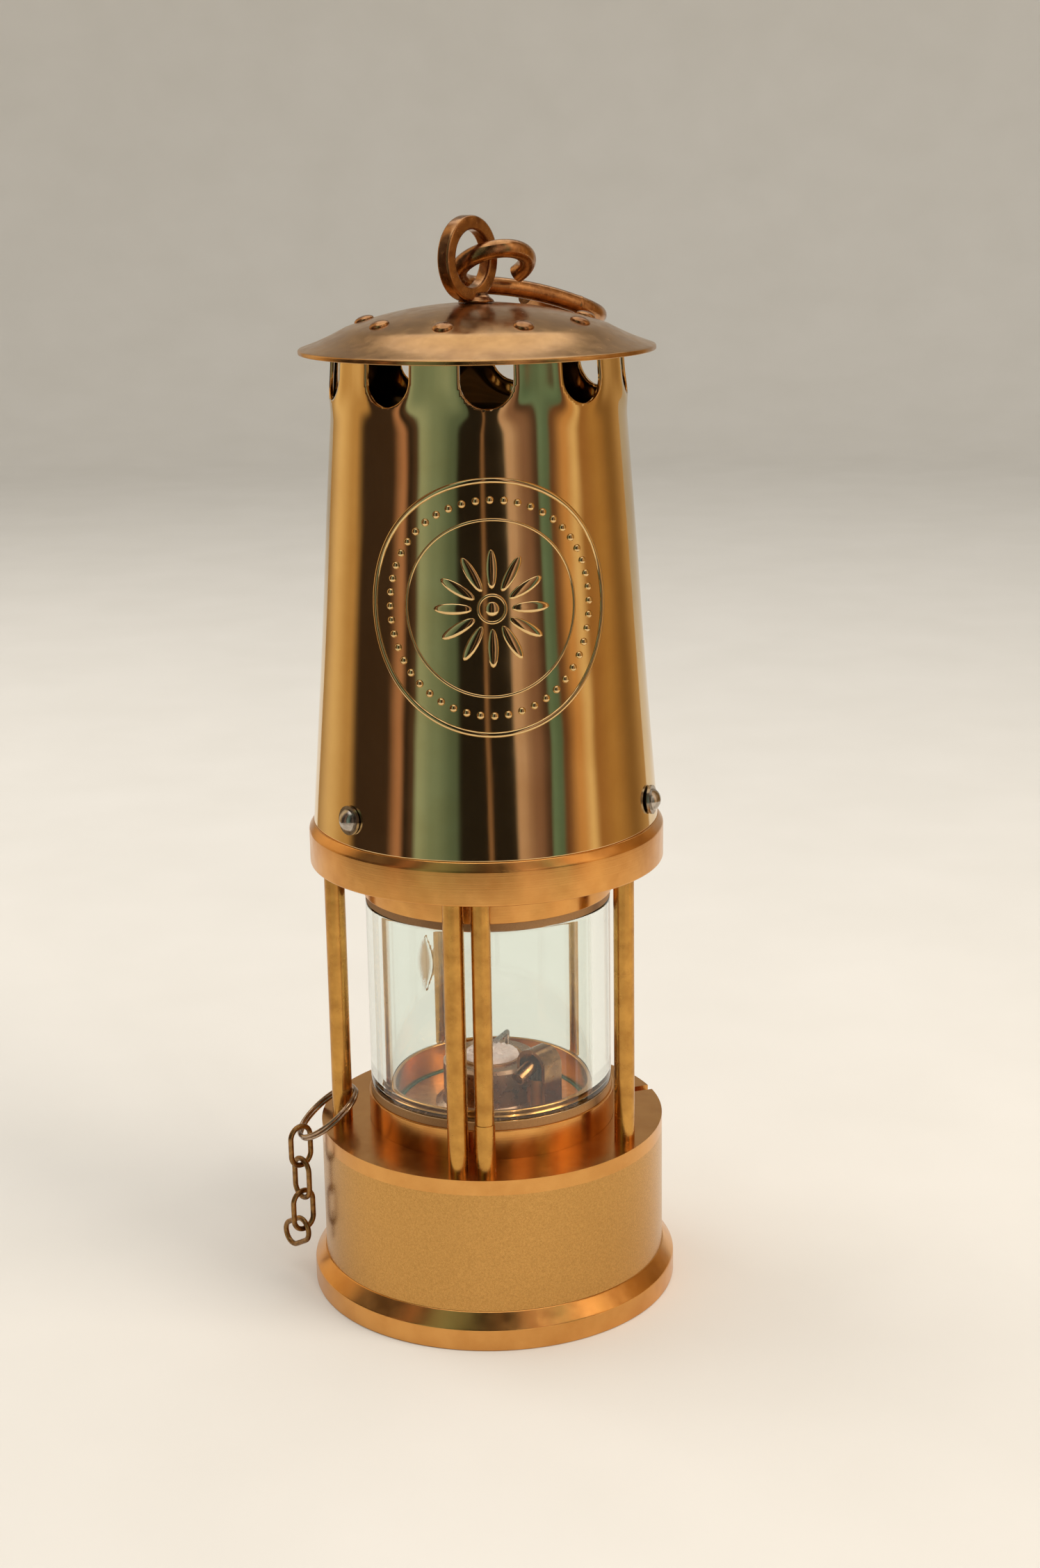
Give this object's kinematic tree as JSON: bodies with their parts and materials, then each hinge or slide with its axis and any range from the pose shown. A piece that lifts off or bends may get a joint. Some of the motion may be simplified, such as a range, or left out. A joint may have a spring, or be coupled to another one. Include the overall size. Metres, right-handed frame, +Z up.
{
  "type": "miner's flame safety lamp",
  "caption": "Flame safety lamp of brass with an oil vessel, a glass ring on pillars, a vented bonnet and a hanging hook.",
  "frame": {"origin": "centre of the base on the plane it stands on", "axes": "+Z up along the lamp's axis, -Y towards the front with the lock tube, +X to the right seen from the front"},
  "size_m": [0.1039, 0.0954, 0.2741],
  "materials": {
    "brass_polished": "polished lacquered brass",
    "brass_satin": "satin brass with handling marks",
    "copper": "copper-toned bronze, drawn and lightly tarnished",
    "bronze": "dark brown patinated bronze, polished",
    "verdigris": "seal ring with green verdigris",
    "nickel": "nickel plate",
    "steel": "bright drawn steel",
    "tool_steel": "hardened dark steel",
    "flint": "pressed lighter flint, grey",
    "gauze": "woven steel wire gauze, heat-darkened",
    "gasket": "dark fibre gasket",
    "wick": "round braided cotton wick",
    "cotton": "loose cotton packing",
    "glass": "clear thick glass, fire-finished rims"
  },
  "bodies": {
    "vessel": {"base_flange": "brass_polished", "floor_plate": "brass_satin", "filler_plug": "brass_satin", "vessel_shell": "brass_satin", "cotton_packing": "cotton", "gallery_collar": "brass_polished", "lower_gasket": "gasket", "burner_plate": "brass_satin", "burner_seal": "verdigris", "burner_screws": "brass_satin", "wick_housing": "bronze", "wick_tube": "brass_satin", "wick": "wick", "striker_hood": "copper", "flint_tube": "copper", "flint": "flint", "flint_spring": "steel", "flint_plug": "brass_satin", "stop_pin": "brass_satin", "pricker_tube": "brass_satin", "relighter_tube": "brass_satin"},
    "glass": {"glass": "glass"},
    "frame": {"pillar_plate": "brass_polished", "pillars": "brass_polished", "lock_sleeve": "brass_polished", "lock_tube": "brass_polished", "lock_spring": "steel", "glass_seat": "brass_polished", "upper_gasket": "gasket", "bonnet_ring": "brass_polished", "gauze_clamp": "brass_satin", "inner_gauze": "gauze", "outer_gauze": "gauze", "bonnet_shell": "brass_polished", "crest_ring": "brass_polished", "bonnet_screws": "nickel", "bonnet_washers": "nickel", "lid": "brass_polished", "lid_rivets": "copper", "crown_washer": "brass_polished"},
    "lock_bolt": {"lock_bolt": "steel"},
    "eye": {"suspension_eye": "copper", "eye_nut": "brass_satin"},
    "hook": {"hook": "copper"},
    "key_ring": {"key_ring": "nickel"},
    "link_1": {"link_1": "copper"},
    "link_2": {"link_2": "copper"},
    "link_3": {"link_3": "copper"},
    "link_4": {"link_4": "copper"},
    "relighter": {"relighter_spindle": "steel", "striker_wheel": "tool_steel", "relighter_knob": "brass_satin"},
    "pricker": {"wick_pricker": "steel", "pricker_knob": "brass_satin"}
  },
  "joints": [
    {"name": "frame_turn", "type": "hinge", "parent": "vessel", "child": "glass", "pos_m": [0, 0, 0], "axis": [0, 0, 1], "range_deg": [0, 1080]},
    {"name": "frame_lift", "type": "slide", "parent": "glass", "child": "frame", "axis": [0, 0, 1], "range_m": [0, 0.0046]},
    {"name": "lock_slide", "type": "slide", "parent": "frame", "child": "lock_bolt", "axis": [0, 0, 1], "range_m": [-0.003, 0], "deforming": ["lock_spring"]},
    {"name": "eye_swivel", "type": "hinge", "parent": "frame", "child": "eye", "pos_m": [0, 0, 0.25], "axis": [0, 0, 1], "continuous": true},
    {"name": "hook_swing", "type": "hinge", "parent": "eye", "child": "hook", "pos_m": [-0.00193, -0.0023, 0.26401], "axis": [0.766, -0.6428, 0], "range_deg": [0, 180]},
    {"name": "key_ring_lift", "type": "hinge", "parent": "frame", "child": "key_ring", "pos_m": [-0.04307, -0.0015, 0.0467], "axis": [0.0349, -0.9994, 0], "range_deg": [-30, 0]},
    {"name": "link_1_swing", "type": "hinge", "parent": "key_ring", "child": "link_1", "pos_m": [-0.0505, -0.00176, 0.0411], "axis": [0.0349, -0.9994, 0], "range_deg": [-40, 0]},
    {"name": "link_2_swing", "type": "hinge", "parent": "link_1", "child": "link_2", "pos_m": [-0.0505, -0.00176, 0.03225], "axis": [-0.7986, -0.6018, 0], "range_deg": [-20, 0]},
    {"name": "link_3_swing", "type": "hinge", "parent": "link_2", "child": "link_3", "pos_m": [-0.0505, -0.00176, 0.02315], "axis": [-0.6018, 0.7986, 0], "range_deg": [0, 20]},
    {"name": "link_4_swing", "type": "hinge", "parent": "link_3", "child": "link_4", "pos_m": [-0.0505, -0.00176, 0.01405], "axis": [-0.7986, -0.6018, 0], "range_deg": [-20, 30]},
    {"name": "relighter_spin", "type": "hinge", "parent": "vessel", "child": "relighter", "pos_m": [0.01137, -0.01098, 0.03], "axis": [0, 0, 1], "continuous": true},
    {"name": "pricker_turn", "type": "hinge", "parent": "vessel", "child": "pricker", "pos_m": [0.00492, 0.00853, 0.03], "axis": [0, 0, 1], "range_deg": [-35, 35]}
  ],
  "couplings": [
    {"joint": "frame_lift", "follows": "frame_turn", "m_per_rad": 0.00023873}
  ]
}
